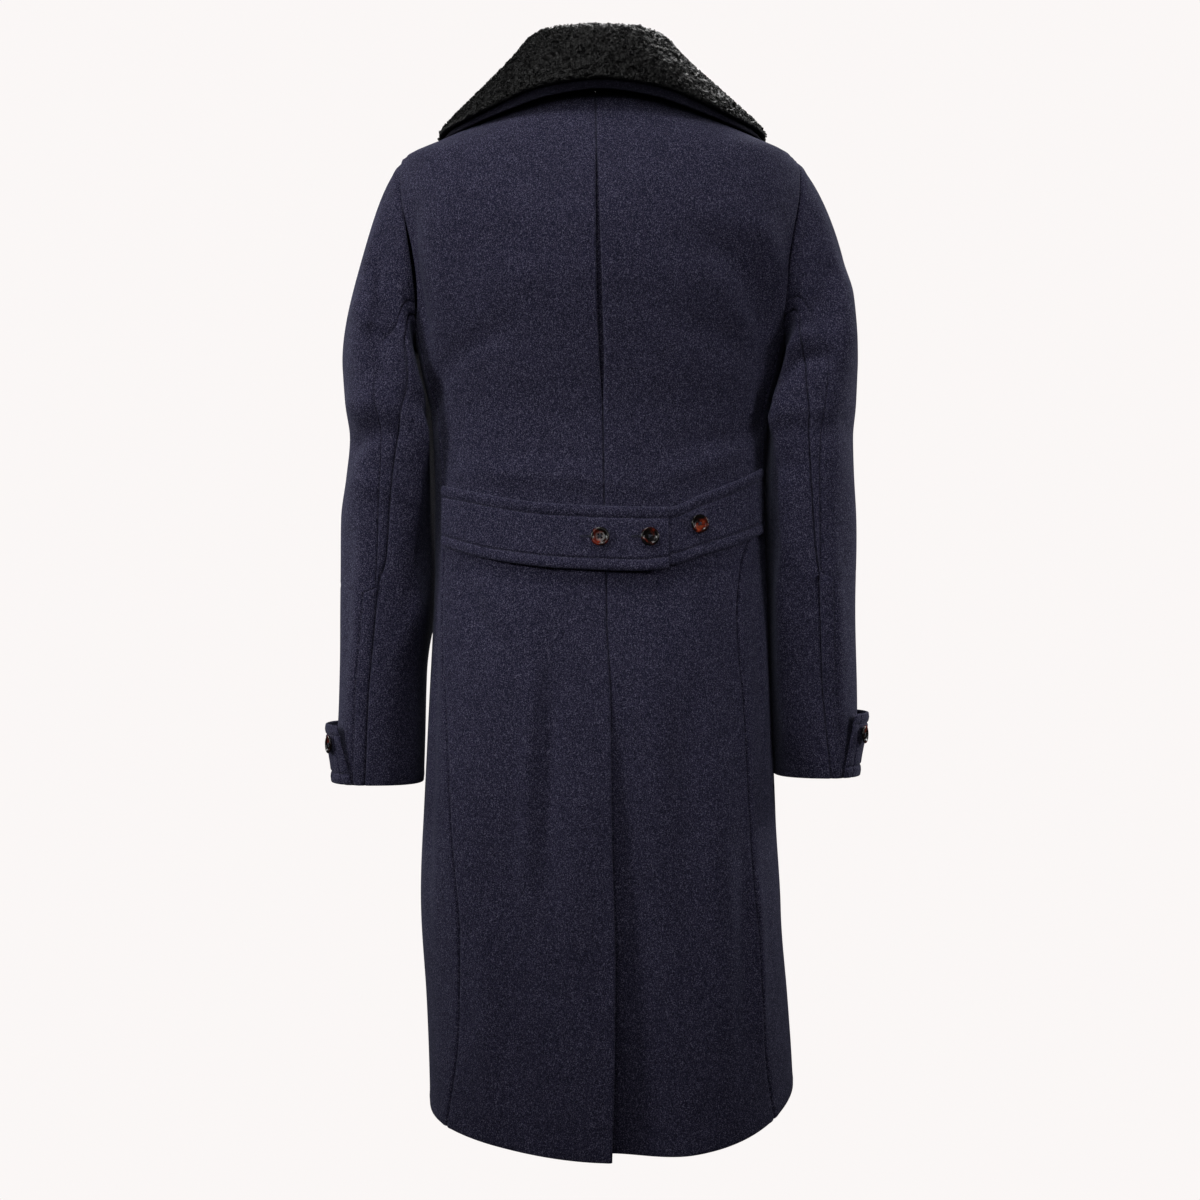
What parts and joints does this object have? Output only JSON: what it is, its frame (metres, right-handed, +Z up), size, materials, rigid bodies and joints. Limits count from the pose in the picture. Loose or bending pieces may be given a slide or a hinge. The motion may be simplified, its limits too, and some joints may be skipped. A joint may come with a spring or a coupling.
{
  "type": "military greatcoat",
  "caption": "Long double-breasted wool greatcoat with a broad fur collar, buttoned half belt, centre back pleat and vent, two-piece sleeves and buttoned cuff straps, hollow as worn.",
  "frame": {"origin": "middle of the neck at the level of the neck seam, where the coat hangs from the shoulders", "axes": "+Z up along the wearer's spine, -Y towards the coat's front, +X towards the wearer's left"},
  "size_m": [0.6152, 0.284, 1.2254],
  "materials": {
    "wool": "milled melton wool, dark navy with a fine lighter melange, slight nap",
    "fur": "short curly black pile, matt with soft grey highlights",
    "button": "polished horn look, black with red-brown marbling"
  },
  "bodies": {
    "root": {"back_left": "wool", "back_right": "wool", "side_left": "wool", "side_right": "wool", "front_left": "wool", "front_right": "wool", "lapel_left": "wool", "lapel_right": "wool", "pleat_underlay": "wool", "sleeve_top_left": "wool", "sleeve_top_right": "wool", "sleeve_under_left": "wool", "sleeve_under_right": "wool", "under_collar": "wool", "half_belt_left": "wool", "half_belt_right": "wool", "cuff_strap_left": "wool", "cuff_strap_right": "wool", "collar_fur": "fur", "belt_button_1": "button", "belt_button_2": "button", "belt_button_3": "button", "cuff_button_left": "button", "cuff_button_right": "button", "front_button_1_1": "button", "front_button_1_2": "button", "front_button_1_3": "button", "front_button_2_1": "button", "front_button_2_2": "button", "front_button_2_3": "button"}
  },
  "joints": []
}
